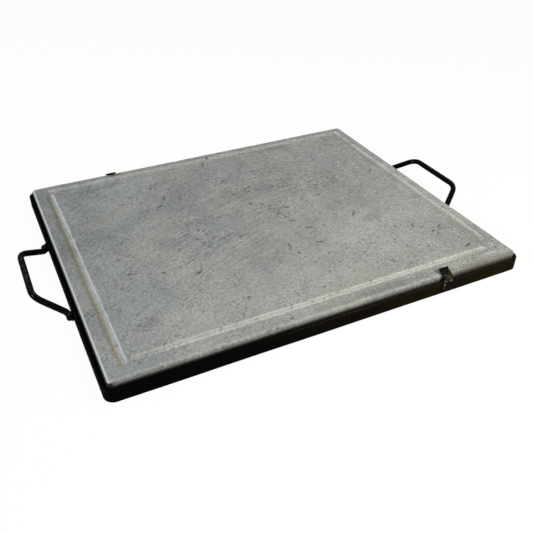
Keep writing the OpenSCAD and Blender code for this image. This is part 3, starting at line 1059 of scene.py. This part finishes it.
def stone_finish():
    """Grey stone: its tone and flecks, paler grooves and worn edges, painted light and shade on the
    groove walls and edges, and darker low on its sides.
    """
    material, start, where = start_finish("soapstone")
    along = start.node("SeparateXYZ", {}, {0: where}, out="X")
    deep = along.beside("Y")
    tone, relief = stone_tone(where, along, deep)
    side = mark(start, "side")
    dark = stone_flecks(where) * (1 - side)
    front = rise(deep, *FRONT_DEEP) * rise(along, *FRONT_FROM) * (1 - rise(along, *FRONT_TO) * 0.8)
    # Pale cut stone on the groove floors, and painted light on the groove walls that face the window
    cut_and_lit = mark(start, "floor") * (0.13 + front * 0.20) + mark(start, "lit") * 0.55
    scuffs = rise(nearest_mark(warped(where, 3.0, 1.5), SCUFFS), 1.2, 0.5)
    scratches = rise(nearest_mark(warped(where, 9.0, 1.2), SCRATCHES), 1.3, 0.4)
    stains = rise(nearest_mark(warped(where, 5.0, 4.0), STAINS), 1.3, 0.5)
    worn = rise(noise(where, 2.0, 3), 0.28, 0.58)
    left = rise(along, *LEFT_EDGE)
    # Edges rubbed pale; the extra paleness on the left bevel is painted light from the window
    rubbed_and_lit = mark(start, "arris") * (0.05 + worn * 0.25 + left * 0.6)
    pale = rubbed_and_lit.math("MAXIMUM", rubbed_and_lit, scuffs * 0.6)
    hue = noise(where, 48, 3, 0.55)
    skirt = mark(start, "skirt")
    # Painted shade where the edge rounds over, left out on the left bevel that faces the window
    edge_shade = rise(skirt, 0.25, 1.7) * (1 - left) * 0.22
    colour = start.node("ValToRGB", {"stops": TONES}, {0: tone + cut_and_lit - edge_shade})
    colour = blend(rise(hue, 0.52, 0.72) * 0.4, colour, STONE_BEIGE)
    colour = blend(rise(hue, 0.46, 0.30) * 0.35, colour, STONE_BLUE)
    colour = blend(side * 0.35, colour, STONE_SIDE)
    colour = blend(dark.math("MAXIMUM", dark, scratches * 0.18), colour, FLECK_DARK)
    colour = blend(stains * 0.7, colour, TAN_STAIN_AND_SHADE)
    colour = blend(mark(start, "foot") * (0.2 + worn * 0.25 + front * 0.1), colour, STONE_DARK)
    # Darker brown in a broken line along the rear edge, less so to the right
    rear_dark = rise(deep, *REAR_EDGE) * rise(noise(where, 3, 3), 0.46, 0.56)
    colour = blend(rear_dark * (0.75 - rise(along, 20, 60) * 0.4), colour, DARK_BROWN)
    colour = blend(pale.math("MINIMUM", pale, 1.0), colour, STONE_PALE)
    smeared = rise(along, *SMEAR_FROM) * rise(deep, *SMEAR_DEEP) * (1 - scuffs)
    colour = blend(smeared * 0.55, colour, DARK_BROWN)
    # Painted shade: tan on the groove floors beside the walls turned away from the window
    colour = blend(mark(start, "shaded") * 0.55, colour, TAN_STAIN_AND_SHADE)
    # Darker low on the sides, towards the rim, less so to the right, and on the left just below the
    # bevel
    low_dark = rise(skirt, *LOW_DARK_SKIRT) * (0.95 - rise(along, -60, 190) * 0.3)
    low_dark = low_dark.math("MAXIMUM", low_dark, rise(skirt, *BEVEL_DARK) * left)
    colour = blend(low_dark, colour, SIDE_DARK)
    bump = start.node("Bump", {}, {"Strength": 0.3, "Distance": MM, "Height": relief})
    shader = start.node("BsdfPrincipled", {}, {
        "Base Color": colour, "Roughness": 0.55 + tone * 0.14, "Normal": bump,
        "Specular IOR Level": 0.2})
    start.node("OutputMaterial", {}, {"Surface": shader})
    return material


finishes = {"stone": stone_finish()}
print("stone finish of", len(finishes["stone"].node_tree.nodes), "nodes")

# %% [markdown]
# ## Black paint
# The steel is brushed with black stove paint. It isn't a flat black: it lies thicker in some
# places, picks up brown dust, turns browner towards the right, and is rubbed through along
# edges. A painted highlight runs along the top of the rods. The paint itself hardly reflects, and
# a thin coat over it carries the gloss, so that it can be nearly black and still shine. The same
# finish serves the rim, the ledges, the handles and the welds, each with its own gloss and grain,
# and the clips carry a browner one, with a painted sheen on their leaning face and painted glints
# on their bend and one edge.

# %% Paint
BRUSHED = (6.0, 1.0, 1.0)


def paint_finish(name, colour, dusty, rough, gloss, peel, rubs_and_highlights=(), browned=None):
    """Black paint: dust in patches, a coat of uneven gloss and a fine orange peel. Each of the rubs
    and highlights is a mark on the mesh, the colour laid there, worn through or painted as a
    highlight or sheen, and its share; browned is the colour it turns towards the right."""
    material, start, where = start_finish(name)
    patches = rise(noise(where, 28, 4, 0.6), 0.42, 0.72)
    specks = rise(noise(where, 2.2, 3, 0.6), 0.60, 0.74)
    streaks = noise(vectors("DIVIDE", where, BRUSHED), 5.0, 3) - 0.5
    fine = noise(where, 0.9, 2) - 0.5
    paint = blend(patches * 0.55 + specks * 0.35, colour, dusty)
    if browned:
        along = start.node("SeparateXYZ", {}, {0: where}, out="X")
        # Browner towards the right
        browning = rise(along, -150, 215) * (0.55 + patches * 0.3 + streaks * 0.5 + specks * 0.2)
        paint = blend(browning, paint, browned)
    for mark_name, laid_colour, share in rubs_and_highlights:
        rubbed_and_lit = mark(start, mark_name) * rise(noise(where, 3.0, 4, 0.65), 0.42, 0.62)
        paint = blend(rubbed_and_lit * share, paint, laid_colour)
    uneven = 1.15 - patches * 0.4 - specks * 0.3 + streaks * 0.5 + mark(start, "edge") * 0.5
    bump = start.node("Bump", {}, {
        "Strength": 0.35, "Distance": MM, "Height": fine * peel + streaks * peel})
    shader = start.node("BsdfPrincipled", {}, {
        "Base Color": paint, "Roughness": 0.5 + patches * 0.2, "Normal": bump,
        "Specular IOR Level": 0.0, "Coat Weight": uneven * gloss, "Coat Roughness": rough})
    start.node("OutputMaterial", {}, {"Surface": shader})
    return material


BLACK = (0.0008, 0.0008, 0.0009, 1)
DUST = (0.0019, 0.0016, 0.0011, 1)
GRIP_DUST = (0.0030, 0.0026, 0.0018, 1)
BROWN = (0.0110, 0.0083, 0.0028, 1)
CLIP_DUST = (0.0170, 0.0124, 0.0058, 1)
WORN = (0.016, 0.013, 0.010, 1)
# Grey of the highlight painted along the top of the rods
HIGHLIGHT_GREY = (0.060, 0.057, 0.050, 1)
CLIP_BLACK = (0.003, 0.0025, 0.0018, 1)
# Olive of the sheen painted on the clips' leaning face
OLIVE = (0.050, 0.041, 0.021, 1)
# Pale grey of the glints painted on the clips' bend and edge
GLINT_GREY = (0.26, 0.255, 0.23, 1)
finishes.update({
    "frame_paint": paint_finish(
        "rim_paint", BLACK, DUST, rough=0.22, gloss=0.026, peel=0.10,
        rubs_and_highlights=[("edge", WORN, 0.5)], browned=BROWN),
    "ledge_paint": paint_finish("ledge_paint", BLACK, DUST, rough=0.40, gloss=0.05, peel=0.14),
    "handle_paint": paint_finish(
        "handle_paint", BLACK, GRIP_DUST, rough=0.12, gloss=0.058, peel=0.05,
        # painted highlight along the top of the rods
        rubs_and_highlights=[("upper", HIGHLIGHT_GREY, 0.55)]),
    "weld_paint": paint_finish("weld_paint", BLACK, DUST, rough=0.20, gloss=0.12, peel=0.16),
    "clip_steel": paint_finish(
        "clip_paint", CLIP_BLACK, CLIP_DUST, rough=0.30, gloss=0.035, peel=0.08,
        # painted sheen on the leaning face, painted glints on the bend and one edge
        rubs_and_highlights=[("lean", OLIVE, 0.8), ("bend", GLINT_GREY, 0.30), ("nick", GLINT_GREY, 0.9)]),
})
for piece in pieces.values():
    piece.data.materials.append(finishes[piece["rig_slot"]])
print("finishes on", len(pieces), "pieces")

# %% [markdown]
# ## The ledges
# Four flat bars under the slab carry it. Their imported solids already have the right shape, so they
# stay as they are and only take the paint.

# %% Paint on the ledge bars
for side in ("front", "rear", "left", "right"):
    bar = frame["nodes"][f"{side}_ledge"]
    bar.data.materials.clear()
    bar.data.materials.append(finishes["ledge_paint"])
    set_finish(bar, "ledge_paint")
    print(bar.name, "painted")

# %% [markdown]
# ## Sizes at the end
# The last cell writes the imported model's box and the dressed model's box side by side, so that a
# piece that has grown past its solid shows up at once.

# %% Sizes and the end
boxes = {"cad": cad_box, "visual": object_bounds()}
for name, box in boxes.items():
    print(name, [[round(x / MM, 2) for x in corner] for corner in box])
